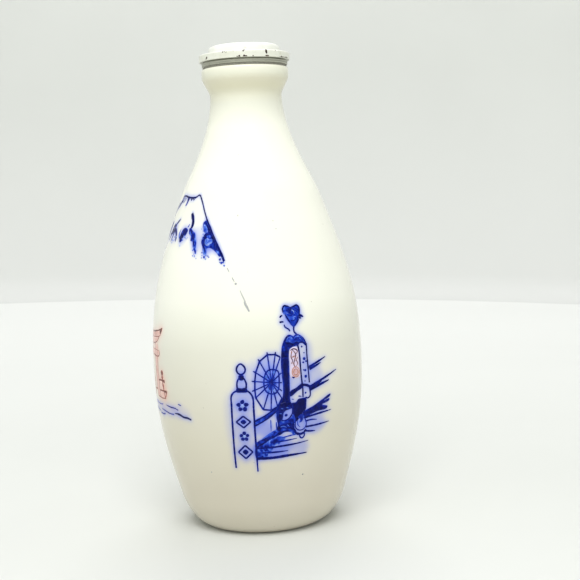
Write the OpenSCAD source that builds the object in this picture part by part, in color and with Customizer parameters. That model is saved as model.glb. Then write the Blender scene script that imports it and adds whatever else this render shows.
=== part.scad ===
// Small porcelain sake bottle for one go (180 ml), closed with a push-in stopper
// that wears a white enamelled metal cap.
// Origin: middle of the foot ring's resting plane. +Z runs up the bottle's axis.
// All sizes are in millimetres.

/* [Bottle] */
// Height of the porcelain, from the foot to the top of the lip
bottle_h = 138; // [130:1:150]
// Largest radius of the belly
belly_r = 32.1; // [30:0.1:35]
// Height of the belly's widest place
belly_z = 48.8; // [44:0.1:54]
// Radius where the hollow shoulder turns out of the belly
shoulder_r = 20.9; // [19:0.1:22]
// Radius of the neck at its narrowest
neck_r = 10.8; // [10.6:0.1:11.6]
// Largest radius of the rolled lip
lip_r = 13.1; // [12.9:0.1:13.5]
// Thickness of the fired wall
wall = 4; // [3.4:0.1:4.5]
// Radius of the bore that takes the stopper
bore_r = 8; // [7.6:0.1:8.2]

/* [Foot] */
// Outer radius of the ring that the bottle stands on
foot_r = 17.4; // [16.4:0.1:18.4]
// Width of that ring
foot_w = 3.2; // [2.5:0.1:4]
// Depth of the recess inside the ring
recess_h = 2.2; // [1:0.1:2.5]

/* [Stopper] */
// Length of the leg below the lip
leg_h = 16; // [12:0.5:16]
// Radial play of the sealing ribs in the bore
rib_play = 0.05; // [0.02:0.01:0.1]
// Thickness of the rubber washer on the lip
washer_h = 0.5; // [0.4:0.1:0.8]
// Height of the bare metal band
band_h = 1.5; // [1.2:0.1:2]
// Largest radius of the bare metal band
band_r = 12.95; // [12.9:0.05:13]

/* [Metal cap] */
// Outer radius of the wide brim
brim_r = 13.65; // [13.6:0.05:14]
// Height of the brim's skirt
brim_h = 2.1; // [2:0.1:2.6]
// Radius of the raised middle
crown_r = 10.8; // [10.2:0.1:11]
// Height of the raised middle above the brim
crown_h = 2.5; // [2:0.1:3]
// Rounding of the raised middle's edge
crown_round = 1.4; // [1:0.1:2]
// Thickness of the enamelled sheet
sheet_t = 0.35; // [0.3:0.05:0.4]

/* [Hidden] */
$fn = 96;

// heights of the stations on the bottle's outline
heel = [25.5, 9.7];
shoulder_z = bottle_h - 37.5;
neck_z = bottle_h - 8.1;
lip_z = bottle_h - 2.8;
lip_round = 0.8;
floor_z = recess_h + 3.8;
floor_r = 11;
bore_z = bottle_h - 17;
mouth_round = 0.7;

// heights of the faces where the stopper's pieces meet
band_z = bottle_h + washer_h;
flange_z = band_z + band_h;
brim_z = flange_z + brim_h;
crown_z = brim_z + crown_h;

// radii inside the stopper
fit_gap = 0.05;
skirt_in_r = brim_r - sheet_t;
flange_r = 12.6;
root_r = 8.25;
leg_r = 7.5;
rib_r = bore_r - rib_play;
collar_r = 9.5;
core_r = 5.8;

// Points of a cubic Bezier curve; the last point belongs to the next stretch.
function curve(a, b, c, d, n) =
    [for (i = [0 : n - 1]) let (t = i / n, s = 1 - t)
        s * s * s * a + 3 * s * s * t * b + 3 * s * t * t * c + t * t * t * d];

// Points of an arc round centre c, from angle a to angle b.
function arc(c, r, a, b, n = 6) =
    [for (i = [0 : n]) c + r * [cos(a + (b - a) * i / n), sin(a + (b - a) * i / n)]];

// Outline of the porcelain from the foot to the lip, as [radius, height].
outer_line = concat(
    curve([foot_r, 0], [foot_r + 4.3, 0], heel - [0.75, 2.9], heel, 8),
    curve(heel, heel + [3.1, 11.2], [belly_r, belly_z - 17.3], [belly_r, belly_z], 12),
    curve([belly_r, belly_z], [belly_r, belly_z + 21], [shoulder_r + 8, shoulder_z - 21.5],
        [shoulder_r, shoulder_z], 14),
    curve([shoulder_r, shoulder_z], [shoulder_r - 1.9, shoulder_z + 5.1], [neck_r, neck_z - 12],
        [neck_r, neck_z], 14),
    curve([neck_r, neck_z], [neck_r, neck_z + 1.1], [lip_r, lip_z - 1.1], [lip_r, lip_z], 10)
);

// The cavity's wall: the outline moved inwards by the wall, up to the bore.
cavity_line = [
    for (i = [0 : len(outer_line) - 2])
        let (p = outer_line[i], d = outer_line[i + 1] - p, q = p - wall * [d[1], -d[0]] / norm(d))
        if (q[1] > floor_z + 6 && q[1] < bore_z - 1 && q[0] > bore_r + 0.3) q
];

module bottle_body() {
    color([0.93, 0.93, 0.86])
    rotate_extrude()
    polygon(concat(
        [[0, recess_h], [foot_r - foot_w - 1.5, recess_h - 0.3], [foot_r - foot_w, 0]],
        outer_line,
        arc([lip_r - lip_round, bottle_h - lip_round], lip_round, 0, 90),
        arc([bore_r + mouth_round, bottle_h - mouth_round], mouth_round, 90, 180),
        [[bore_r, bore_z]],
        [for (i = [len(cavity_line) - 1 : -1 : 0]) cavity_line[i]],
        curve(cavity_line[0], cavity_line[0] - [1, 4.5], [floor_r + 6, floor_z], [floor_r, floor_z], 8),
        [[floor_r, floor_z], [0, floor_z]]
    ));
}

// Thin black rubber washer, squeezed between the lip and the metal band.
module seal_washer() {
    washer_r = 12.7;
    edge = washer_h / 2;
    color([0.1, 0.1, 0.1])
    translate([0, 0, bottle_h])
    rotate_extrude()
    polygon(concat(
        [[root_r + fit_gap, 0]],
        arc([washer_r - edge, edge], edge, -90, 90),
        [[root_r + fit_gap, washer_h]]
    ));
}

// Bare tinplate band: its waisted side shows, its tongue is pressed into the cap.
module clamp_ring() {
    waist = 0.25;
    tongue_h = 1;
    tongue_r = skirt_in_r - fit_gap;
    color([0.54, 0.54, 0.5])
    translate([0, 0, band_z])
    rotate_extrude()
    polygon(concat(
        [[collar_r + fit_gap, 0]],
        curve([band_r, 0], [band_r - waist, band_h / 3], [band_r - waist, band_h * 2 / 3],
            [band_r, band_h], 8),
        [[band_r, band_h], [tongue_r, band_h], [tongue_r, band_h + tongue_h]],
        [[flange_r + fit_gap, band_h + tongue_h], [flange_r + fit_gap, band_h]],
        [[collar_r + fit_gap, band_h]]
    ));
}

// One moulded piece: ribbed leg, collar, clamped flange and the boss in the crown.
module stopper_plug() {
    boss_r = crown_r - sheet_t - fit_gap;
    boss_z = crown_z - sheet_t - fit_gap;
    flange_top = brim_z - sheet_t - fit_gap;
    leg_z = bottle_h - leg_h;
    tip = 2;
    rib_h = 0.7;
    boss_round = crown_round - sheet_t;
    color([0.9, 0.91, 0.88])
    difference() {
        union() {
            // leg with a rounded tip
            rotate_extrude()
            polygon(concat(
                [[0, leg_z]],
                arc([leg_r - tip, leg_z + tip], tip, -90, 0),
                [[leg_r, bottle_h + fit_gap], [root_r, bottle_h + fit_gap], [root_r, band_z]],
                [[collar_r, band_z], [collar_r, flange_z], [flange_r, flange_z]],
                [[flange_r, flange_top], [boss_r, flange_top]],
                arc([boss_r - boss_round, boss_z - boss_round], boss_round, 0, 90),
                [[0, boss_z]]
            ));
            // sealing ribs
            for (i = [1 : 3])
                translate([0, 0, leg_z + i * leg_h / 4])
                rotate_extrude()
                polygon(concat(
                    [[leg_r - 0.5, -rib_h]],
                    curve([leg_r, -rib_h], [rib_r, -rib_h / 2], [rib_r, -rib_h / 2], [rib_r, 0], 5),
                    curve([rib_r, 0], [rib_r, rib_h / 2], [rib_r, rib_h / 2], [leg_r, rib_h], 5),
                    [[leg_r, rib_h], [leg_r - 0.5, rib_h]]
                ));
        }
        // core that lets the leg give
        translate([0, 0, leg_z + tip])
        cylinder(h = crown_z - leg_z, r = core_r);
    }
}

// Pressed sheet cap: raised crown, wide brim and a short skirt over the band.
module cap_shell() {
    brim_round = 0.5;
    fillet = 0.4;
    color([0.87, 0.87, 0.82])
    rotate_extrude()
    polygon(concat(
        // outside, from the axis out and down
        [[0, crown_z]],
        arc([crown_r - crown_round, crown_z - crown_round], crown_round, 90, 0),
        arc([crown_r + fillet, brim_z + fillet], fillet, 180, 270),
        arc([brim_r - brim_round, brim_z - brim_round], brim_round, 90, 0),
        [[brim_r, flange_z - fit_gap], [skirt_in_r, flange_z - fit_gap]],
        // inside, back up to the axis
        arc([brim_r - brim_round, brim_z - brim_round], brim_round - sheet_t, 0, 90),
        arc([crown_r + fillet, brim_z + fillet], fillet + sheet_t, 270, 180),
        arc([crown_r - crown_round, crown_z - crown_round], crown_round - sheet_t, 0, 90),
        [[0, crown_z - sheet_t]]
    ));
}

bottle_body();
seal_washer();
clamp_ring();
stopper_plug();
cap_shell();
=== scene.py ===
import math

import bpy
import numpy as np
from mathutils import Matrix, Vector
from mathutils.geometry import delaunay_2d_cdt


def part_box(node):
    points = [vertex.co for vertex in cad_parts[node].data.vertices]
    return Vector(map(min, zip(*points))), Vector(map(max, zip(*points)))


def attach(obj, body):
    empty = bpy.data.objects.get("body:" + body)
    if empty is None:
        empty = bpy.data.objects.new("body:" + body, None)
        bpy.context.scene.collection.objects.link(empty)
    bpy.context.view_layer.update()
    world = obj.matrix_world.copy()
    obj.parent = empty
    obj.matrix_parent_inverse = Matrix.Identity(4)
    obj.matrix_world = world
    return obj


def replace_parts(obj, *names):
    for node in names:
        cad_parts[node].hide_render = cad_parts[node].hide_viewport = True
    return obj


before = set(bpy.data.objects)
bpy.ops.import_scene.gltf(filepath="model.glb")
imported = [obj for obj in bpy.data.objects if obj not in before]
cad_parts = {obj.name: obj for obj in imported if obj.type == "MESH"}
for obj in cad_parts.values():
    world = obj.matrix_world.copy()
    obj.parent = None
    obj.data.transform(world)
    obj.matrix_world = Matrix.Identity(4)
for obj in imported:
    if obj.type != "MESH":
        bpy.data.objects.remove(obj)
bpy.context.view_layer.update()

MM = 0.001


# ---- outlines, in millimetres

def bezier(a, b, c, d, count=60):
    """Points of a cubic Bezier curve, without its last one."""
    t = np.linspace(0, 1, count, endpoint=False)[:, None]
    a, b, c, d = (np.array(p, float) for p in (a, b, c, d))
    return (1 - t) ** 3 * a + 3 * (1 - t) ** 2 * t * b + 3 * (1 - t) * t ** 2 * c + t ** 3 * d


def arc(centre, radius, start, end, count=8):
    """Points of an arc, angles in degrees."""
    angles = np.radians(np.linspace(start, end, count + 1))
    return np.array(centre) + radius * np.stack([np.cos(angles), np.sin(angles)], 1)


def resample(line, step):
    """The line with points that far apart; step may be a function of a point."""
    line = np.array(line, float)
    lengths = np.hypot(*np.diff(line, axis=0).T)
    along = np.concatenate([[0], np.cumsum(lengths)])
    stops = [0.0]
    while stops[-1] < along[-1]:
        here = [np.interp(stops[-1], along, line[:, k]) for k in (0, 1)]
        stops.append(stops[-1] + (step(here) if callable(step) else step))
    stops = np.array(stops[:-1] + [along[-1]]) if len(stops) > 2 else along[[0, -1]]
    return np.stack([np.interp(stops, along, line[:, k]) for k in (0, 1)], 1)


BODY_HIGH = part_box("bottle_body")[1] / MM
BOTTLE_H = BODY_HIGH[2]
BELLY_R = BODY_HIGH[0]
WALL = 4.0
BORE_R = 8.0
MOUTH_ROUND = 0.7
FOOT_R, FOOT_W, RECESS = 17.4, 3.2, 2.2
HEEL = np.array([25.5, 9.7])
BELLY_Z = 48.8
SHOULDER = np.array([20.9, BOTTLE_H - 37.5])
NECK = np.array([10.8, BOTTLE_H - 8.1])
LIP = np.array([13.1, BOTTLE_H - 2.8])
BORE_Z = BOTTLE_H - 17
FLOOR_Z, FLOOR_R = RECESS + 3.8, 11.0

OUTER = np.vstack([
    bezier((FOOT_R, 0), (FOOT_R + 4.3, 0), HEEL - (0.75, 2.9), HEEL),
    bezier(HEEL, HEEL + (3.1, 11.2), (BELLY_R, BELLY_Z - 17.3), (BELLY_R, BELLY_Z)),
    bezier((BELLY_R, BELLY_Z), (BELLY_R, BELLY_Z + 21), SHOULDER + (8, -21.5), SHOULDER),
    bezier(SHOULDER, SHOULDER + (-1.9, 5.1), NECK - (0, 12), NECK),
    bezier(NECK, NECK + (0, 1.1), LIP - (0, 1.1), LIP),
    [LIP, LIP + (0, 2)],
])


# ---- the bottle's surface

PICTURE_R = 32.0        # the picture's sideways millimetres are measured on this radius
UNDER_GLAZE = -0.02     # how deep a painted stroke starts, mm


def ripple(angle, z):
    """Slight unevenness of the cast and fired wall, mm."""
    fade = np.clip(np.minimum(z, BOTTLE_H - 6 - z) / 12, 0, 1)
    slow = 0.05 * np.sin(2 * angle + 0.6 + 0.03 * z)
    quick = 0.02 * np.sin(5 * angle + 0.11 * z)
    return fade * (slow + quick)


def radius_at(z):
    return np.interp(z, OUTER[:, 1], OUTER[:, 0])


class BottleSide:
    """Where a painted place lies: across is the arc on PICTURE_R, along is the height."""

    @staticmethod
    def spot(across, z, lift):
        angle = across / PICTURE_R
        slope = (radius_at(z + 0.2) - radius_at(z - 0.2)) / 0.4
        steep = np.sqrt(1 + slope ** 2)
        r = radius_at(z) + ripple(angle, z) + lift / steep
        return angle, r, z - lift * slope / steep

    @staticmethod
    def narrowing(z):
        """True width of one sideways millimetre of the picture."""
        return radius_at(z) / PICTURE_R


class CapEdge:
    """The same for the cap: along is the way up the skirt, over its edge and in to the crown."""

    @staticmethod
    def spot(across, along, lift):
        ahead = np.gradient(CAP_EDGE, axis=0)
        ahead /= np.hypot(*ahead.T)[:, None]
        way = np.concatenate([[0], np.cumsum(np.hypot(*np.diff(CAP_EDGE, axis=0).T))])
        r, z, dr, dz = (np.interp(along, way, line) for line in (*CAP_EDGE.T, *ahead.T))
        angle = across / BRIM_R
        return angle, r + dent(angle, CAP_DENTS) + lift * dz, z - lift * dr

    @staticmethod
    def narrowing(along):
        return np.ones(np.shape(along))


def spots_on(surface, across, along, lift):
    """Points in metres for places on a surface, lifted off it."""
    angle, r, up = surface.spot(np.asarray(across, float), np.asarray(along, float), lift)
    return np.stack([r * np.sin(angle), -r * np.cos(angle), up], -1) * MM


def hash_noise(a, b):
    """A repeatable number from 0 to 1 for each place."""
    value = np.sin(np.asarray(a) * 127.1 + np.asarray(b) * 311.7) * 43758.5453
    return value - np.floor(value)


def soft_noise(a, b):
    """Smooth repeatable noise, from 0 to 1."""
    a, b = np.asarray(a, float), np.asarray(b, float)
    i, j = np.floor(a), np.floor(b)
    s, t = a - i, b - j
    s, t = s * s * (3 - 2 * s), t * t * (3 - 2 * t)
    low = hash_noise(i, j) * (1 - s) + hash_noise(i + 1, j) * s
    high = hash_noise(i, j + 1) * (1 - s) + hash_noise(i + 1, j + 1) * s
    return low * (1 - t) + high * t


# ---- meshes

def put_in_scene(name, data):
    thing = bpy.data.objects.new(name, data)
    bpy.context.scene.collection.objects.link(thing)
    return thing


def smooth_mesh(name, verts, faces, materials):
    mesh = bpy.data.meshes.new(name)
    mesh.from_pydata([tuple(v) for v in verts], [], faces)
    mesh.update()
    for material in materials:
        mesh.materials.append(material)
    mesh.polygons.foreach_set("use_smooth", [True] * len(mesh.polygons))
    return mesh


def make_piece(name, verts, faces, body, materials, face_material=None, tones=None):
    """A smooth-shaded mesh piece that rides on a body; tones are values kept on its points."""
    mesh = smooth_mesh(name, verts, faces, materials)
    if face_material is not None:
        mesh.polygons.foreach_set("material_index", face_material)
    for layer, values in (tones or {}).items():
        kind = "FLOAT_COLOR" if np.ndim(values) == 2 else "FLOAT"
        attribute = mesh.attributes.new(layer, kind, "POINT")
        key = "color" if kind == "FLOAT_COLOR" else "value"
        attribute.data.foreach_set(key, np.asarray(values, float).ravel())
    piece = put_in_scene(name, mesh)
    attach(piece, body)
    return piece


def lathe(rows, angles, bumps=None, open_ended=False):
    """Verts and faces of a solid of revolution, in mm. The rows run outwards along the underside,
    up the outside and back; they start and end on the axis, or go round a ring's section."""
    rows = np.array(rows, float)
    count = len(angles)
    verts, faces = [], []
    starts = []
    for k, (r, z) in enumerate(rows):
        starts.append(len(verts))
        if r < 1e-6:
            verts.append((0, 0, z * MM))
            continue
        rr = r + (bumps(k, angles) if bumps else 0)
        circle = np.stack([rr * np.sin(angles), -rr * np.cos(angles), np.full(count, z)], 1) * MM
        verts.extend(map(tuple, circle))
    row_of_face = []
    ring = rows[0][0] > 1e-6 and rows[-1][0] > 1e-6
    for k in range(len(rows) if ring and not open_ended else len(rows) - 1):
        a, b = starts[k], starts[(k + 1) % len(rows)]
        for j in range(count):
            n = (j + 1) % count
            if rows[k][0] < 1e-6:
                faces.append((a, b + n, b + j))
            elif b == len(verts) - 1:
                faces.append((a + j, a + n, b))
            else:
                faces.append((a + j, a + n, b + n, b + j))
            row_of_face.append(k)
    return verts, faces, row_of_face


# ---- materials

def new_material(name):
    material = bpy.data.materials.new(name)
    material.use_nodes = True
    tree = material.node_tree
    return material, tree, tree.nodes["Principled BSDF"]


def add(tree, kind, settings=(), **inputs):
    """A new node; settings are its own properties, inputs its sockets by name."""
    node = tree.nodes.new("ShaderNode" + kind)
    for key, value in dict(settings).items():
        setattr(node, key, value)
    for key, value in inputs.items():
        socket = node.inputs[key.replace("_", " ")]
        if isinstance(value, bpy.types.NodeSocket):
            tree.links.new(value, socket)
        else:
            socket.default_value = value
    return node


def rgb(r, g, b):
    """A colour given as 0 to 255 screen values, as linear RGBA."""
    def linear(v):
        v /= 255
        return v / 12.92 if v <= 0.04045 else ((v + 0.055) / 1.055) ** 2.4
    return (linear(r), linear(g), linear(b), 1.0)


def noise(tree, scale, detail=3.0, rough=0.5, stretch=(1, 1, 1)):
    """Noise in object space; scale is per metre."""
    place = add(tree, "TexCoord").outputs["Object"]
    mapping = add(tree, "Mapping", Vector=place, Scale=stretch)
    made = add(tree, "TexNoise", Vector=mapping.outputs[0], Scale=scale, Detail=detail, Roughness=rough)
    return made.outputs["Fac"]


def ramp(tree, fac, *stops):
    """Colour ramp; each stop is (position, colour)."""
    node = add(tree, "ValToRGB", Fac=fac)
    elements = node.color_ramp.elements
    while len(elements) < len(stops):
        elements.new(0.5)
    for element, (place, colour) in zip(elements, stops):
        element.position = place
        element.color = colour
    return node.outputs["Color"]


def mix(tree, fac, a, b, blend="MIX"):
    node = tree.nodes.new("ShaderNodeMix")
    node.data_type = "RGBA"
    node.blend_type = blend
    for socket, value in zip((node.inputs[0], node.inputs[6], node.inputs[7]), (fac, a, b)):
        if isinstance(value, bpy.types.NodeSocket):
            tree.links.new(value, socket)
        else:
            socket.default_value = value
    return node.outputs[2]


def spread(tree, value, low, high, to_low=0.0, to_high=1.0):
    node = add(tree, "MapRange", Value=value)
    for k, number in zip((1, 2, 3, 4), (low, high, to_low, to_high)):
        node.inputs[k].default_value = number
    return node.outputs[0]


def bump(tree, height, distance, strength=1.0, normal=None):
    node = add(tree, "Bump", Height=height, Distance=distance, Strength=strength)
    if normal is not None:
        tree.links.new(normal, node.inputs["Normal"])
    return node.outputs["Normal"]


def dress(tree, shader, tone, rough, height, depth, strength=1.0):
    """Links a material's colour, its roughness and its fine relief, depth metres deep."""
    tree.links.new(tone, shader.inputs["Base Color"])
    tree.links.new(rough, shader.inputs["Roughness"])
    tree.links.new(bump(tree, height, depth, strength), shader.inputs["Normal"])


def up_the_bottle(tree):
    """Height above the foot, in metres."""
    place = add(tree, "TexCoord").outputs["Object"]
    return add(tree, "SeparateXYZ", Vector=place).outputs["Z"]


def glaze_surface(tree, shader, gloss):
    """The clear glaze shared by bare porcelain and painted lines: faint orange peel."""
    peel = noise(tree, 420, 2, 0.4)
    pits = spread(tree, noise(tree, 2600, 1, 0.3), 0.16, 0.24)
    normal = bump(tree, peel, 0.00003, 0.5)
    normal = bump(tree, pits, 0.000015, 0.5, normal)
    tree.links.new(normal, shader.inputs["Normal"])
    tree.links.new(spread(tree, noise(tree, 60, 3), 0.3, 0.7, 0.07, 0.14), shader.inputs["Roughness"])
    shader.inputs["IOR"].default_value = 1.5
    shader.inputs["Specular IOR Level"].default_value = gloss


def porcelain():
    material, tree, shader = new_material("porcelain_glaze")
    tone = ramp(tree, noise(tree, 22, 3), (0.3, rgb(240, 240, 228)), (0.7, rgb(247, 247, 238)))
    iron = spread(tree, noise(tree, 900, 1, 0.2), 0.83, 0.86)
    tone = mix(tree, iron, tone, rgb(190, 186, 172))
    # painted shade: the glaze colour is darkened and warmed low on the body, standing in for shade and warm
    # light thrown up from below, and darkened under the lip, where the lip shades the neck; it is full white
    # again on the lip's top
    height = spread(tree, up_the_bottle(tree), 0, 0.14)
    painted_shade = ramp(
        tree, height, (0.1, rgb(224, 217, 208)), (0.2, rgb(230, 225, 217)), (0.3, rgb(231, 228, 223)),
        (0.4, rgb(238, 237, 234)), (0.45, rgb(247, 247, 245)), (0.5, rgb(255, 255, 254)),
        (0.86, rgb(255, 255, 252)), (0.908, rgb(240, 240, 235)), (0.943, rgb(236, 232, 215)),
        (0.957, rgb(236, 232, 218)), (0.97, rgb(240, 240, 231)), (0.984, rgb(255, 254, 246)))
    # the painted shade is multiplied into the glaze colour
    tone = mix(tree, 1.0, tone, painted_shade, "MULTIPLY")
    wash = add(tree, "Attribute", {"attribute_name": "wash"}).outputs["Color"]
    parts = add(tree, "SeparateColor", Color=wash)
    tone = mix(tree, parts.outputs[0], tone, rgb(76, 108, 230))
    tone = mix(tree, parts.outputs[1], tone, rgb(236, 150, 138))
    tree.links.new(tone, shader.inputs["Base Color"])
    glaze_surface(tree, shader, 0.3)
    return material


def biscuit():
    material, tree, shader = new_material("bare_biscuit")
    grain = noise(tree, 1500, 4, 0.6)
    tone = ramp(tree, noise(tree, 130, 4, 0.6), (0.3, rgb(206, 197, 176)), (0.7, rgb(226, 220, 204)))
    tone = mix(tree, spread(tree, grain, 0.62, 0.75), tone, rgb(150, 132, 108))
    dress(tree, shader, tone, spread(tree, grain, 0.3, 0.7, 0.6, 0.85), grain, 0.00006, 0.7)
    return material


def paint(name, *stops):
    """Ceramic colour under the glaze: the tone written on each point picks its strength."""
    material, tree, shader = new_material(name)
    tone = add(tree, "Attribute", {"attribute_name": "tone"}).outputs["Fac"]
    grain = spread(tree, noise(tree, 1300, 3, 0.6), 0.25, 0.75, -0.09, 0.09)
    total = add(tree, "Math", {"operation": "ADD"})
    tree.links.new(tone, total.inputs[0])
    tree.links.new(grain, total.inputs[1])
    tree.links.new(ramp(tree, total.outputs[0], *stops), shader.inputs["Base Color"])
    glaze_surface(tree, shader, 0.12)
    return material


def cap_enamel():
    material, tree, shader = new_material("cap_enamel")
    tone = ramp(tree, noise(tree, 180, 4, 0.6), (0.3, rgb(231, 232, 222)), (0.7, rgb(243, 244, 238)))
    stain = spread(tree, noise(tree, 620, 4, 0.7), 0.60, 0.78, 0.0, 0.55)
    tone = mix(tree, stain, tone, rgb(203, 200, 178))
    # painted shade: the skirt below the brim is made a little darker than the crown, which faces the light
    # more
    skirt = spread(tree, up_the_bottle(tree), (BRIM_Z - 0.4) * MM, BRIM_Z * MM, 1.0, 0.0)
    tone = mix(tree, skirt, tone, mix(tree, 1.0, tone, rgb(244, 244, 238), "MULTIPLY"))
    rough = spread(tree, noise(tree, 300, 3), 0.3, 0.7, 0.26, 0.42)
    dress(tree, shader, tone, rough, noise(tree, 900, 2, 0.5), 0.00004, 0.6)
    return material


def bare_metal():
    material, tree, shader = new_material("bare_tinplate")
    streaks = noise(tree, 240, 4, 0.6, (1, 1, 14))
    tone = ramp(tree, streaks, (0.3, rgb(154, 154, 141)), (0.7, rgb(190, 190, 176)))
    rust = spread(tree, noise(tree, 700, 4, 0.7), 0.66, 0.78, 0.0, 0.8)
    tone = mix(tree, rust, tone, rgb(112, 88, 62))
    shader.inputs["Metallic"].default_value = 1.0
    dress(tree, shader, tone, spread(tree, streaks, 0.3, 0.7, 0.32, 0.52), streaks, 0.00002, 0.8)
    return material


def washer_rubber():
    material, tree, shader = new_material("washer_rubber")
    grain = noise(tree, 1600, 4, 0.6)
    tone = ramp(tree, grain, (0.3, rgb(126, 125, 114)), (0.7, rgb(150, 148, 137)))
    dress(tree, shader, tone, spread(tree, grain, 0.3, 0.7, 0.65, 0.85), grain, 0.00003, 0.7)
    return material


def plug_plastic():
    material, tree, shader = new_material("plug_plastic")
    tone = ramp(tree, noise(tree, 160, 3), (0.3, rgb(228, 229, 221)), (0.7, rgb(239, 240, 234)))
    shader.inputs["Subsurface Weight"].default_value = 0.25
    shader.inputs["Subsurface Radius"].default_value = (0.002, 0.002, 0.0017)
    rough = spread(tree, noise(tree, 500, 3), 0.3, 0.7, 0.34, 0.46)
    dress(tree, shader, tone, rough, noise(tree, 1100, 2), 0.00003, 0.5)
    return material


def rust_chip():
    material, tree, shader = new_material("rust_chip")
    grain = noise(tree, 2400, 4, 0.7)
    tone = ramp(tree, grain, (0.35, rgb(24, 20, 18)), (0.65, rgb(76, 52, 36)))
    dress(tree, shader, tone, spread(tree, grain, 0.3, 0.7, 0.7, 0.95), grain, 0.00005)
    return material


PORCELAIN = porcelain()
BISCUIT = biscuit()
COBALT = paint(
    "cobalt_paint", (0.0, rgb(172, 190, 242)), (0.3, rgb(84, 122, 222)), (0.55, rgb(24, 58, 186)),
    (0.8, rgb(6, 24, 124)), (1.0, rgb(2, 8, 74)))
IRON_RED = paint(
    "iron_red_paint", (0.0, rgb(238, 210, 200)), (0.3, rgb(228, 182, 172)), (0.65, rgb(178, 112, 104)),
    (1.0, rgb(88, 56, 50)))
GREY_LINE = paint(
    "grey_line_paint", (0.0, rgb(222, 222, 212)), (0.5, rgb(170, 172, 174)), (1.0, rgb(92, 94, 102)))
SASH_PAINT = paint(
    "sash_paint", (0.0, rgb(216, 205, 230)), (0.25, rgb(208, 184, 206)), (0.6, rgb(196, 138, 112)),
    (0.85, rgb(142, 92, 76)), (1.0, rgb(58, 38, 82)))


# ---- the brush

class Wash:
    """The soft bleed of the ink into the glaze, kept on a fine grid of the picture."""

    step = 0.25
    left, right = -84.0, 44.0
    low, high = 12.0, 110.0

    def __init__(self):
        self.cols = int((self.right - self.left) / self.step) + 1
        self.rows = int((self.high - self.low) / self.step) + 1
        self.ink = {"blue": np.zeros((self.rows, self.cols)), "red": np.zeros((self.rows, self.cols))}

    def drop(self, colour, across, z, amount):
        """Adds ink at places; amount is the inked area in square millimetres."""
        col = np.clip(np.rint((np.asarray(across) - self.left) / self.step).astype(int), 0, self.cols - 1)
        row = np.clip(np.rint((np.asarray(z) - self.low) / self.step).astype(int), 0, self.rows - 1)
        np.add.at(self.ink[colour], (row, col), np.asarray(amount) / self.step ** 2)

    def haze(self, colour, across, z, half_w, half_h, amount):
        """A soft oval of thin colour."""
        x = self.left + self.step * np.arange(self.cols)
        y = self.low + self.step * np.arange(self.rows)
        reach = ((x[None, :] - across) / half_w) ** 2 + ((y[:, None] - z) / half_h) ** 2
        self.ink[colour] += amount * np.clip(1.6 - reach, 0, 1)

    def blurred(self, colour, spread_mm):
        reach = int(3 * spread_mm / self.step)
        x = np.arange(-reach, reach + 1) * self.step
        kernel = np.exp(-0.5 * (x / spread_mm) ** 2)
        kernel /= kernel.sum()
        grid = self.ink[colour]
        grid = np.apply_along_axis(lambda line: np.convolve(line, kernel, "same"), 0, grid)
        return np.apply_along_axis(lambda line: np.convolve(line, kernel, "same"), 1, grid)

    def read(self, grid, across, z):
        """The grid's value at places, 0 outside it."""
        col = (np.asarray(across) - self.left) / self.step
        row = (np.asarray(z) - self.low) / self.step
        inside = (col >= 0) & (col < self.cols - 1) & (row >= 0) & (row < self.rows - 1)
        col, row = np.where(inside, col, 0), np.where(inside, row, 0)
        i, j = row.astype(int), col.astype(int)
        s, t = row - i, col - j
        value = (grid[i, j] * (1 - s) * (1 - t) + grid[i + 1, j] * s * (1 - t)
                 + grid[i, j + 1] * (1 - s) * t + grid[i + 1, j + 1] * s * t)
        return np.where(inside, value, 0)


WASH = Wash()


def smooth_line(points, step, closed=False):
    """A smooth curve through the points, sampled about every step."""
    points = np.array(points, float)
    count = len(points)
    gaps = np.hypot(*(np.roll(points, -1, 0) - points).T)
    gaps = np.maximum(gaps, 1e-6)
    slopes = (np.roll(points, -1, 0) - points) / gaps[:, None]
    before = np.roll(slopes, 1, 0)
    tangents = (slopes + before) / 2
    if not closed:
        tangents[0], tangents[-1] = slopes[0], before[-1]
    made = []
    for k in range(count if closed else count - 1):
        a, b = points[k], points[(k + 1) % count]
        ma, mb = tangents[k] * gaps[k], tangents[(k + 1) % count] * gaps[k]
        t = np.linspace(0, 1, max(2, int(math.ceil(gaps[k] / step)) + 1))[:-1, None]
        made.append((2 * t ** 3 - 3 * t ** 2 + 1) * a + (t ** 3 - 2 * t ** 2 + t) * ma
                    + (3 * t ** 2 - 2 * t ** 3) * b + (t ** 3 - t ** 2) * mb)
    if not closed:
        made.append(points[-1:])
    return np.vstack(made)


STROKE_STEP = 0.3       # between the sections of a stroke, mm
PATCH_GRID = 0.45       # between the points inside a patch, mm
CROWN = 0.008           # how much higher a mark is in its middle than at its edge, mm
LAYER_RISE, STROKE_RISE = 0.01, 0.0004      # how much higher the next layer or mark lies, mm
FULL_TURN = 6.283       # radians, near enough for scattering specks


def oval(across, z, half_w, half_h, apart):
    """Points round an oval, that many degrees apart."""
    turns = np.radians(np.arange(0, 360, apart))
    return [(across + half_w * math.cos(turn), z + half_h * math.sin(turn)) for turn in turns]


def gap_to(edge, places):
    """Distance of each place from the nearest point of the edge."""
    return np.hypot(*(places[:, None] - edge[None]).transpose(2, 0, 1)).min(1)


def ink_share(tone):
    """How much of a mark's ink bleeds into the glaze."""
    return 0.35 + 0.65 * tone


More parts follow.
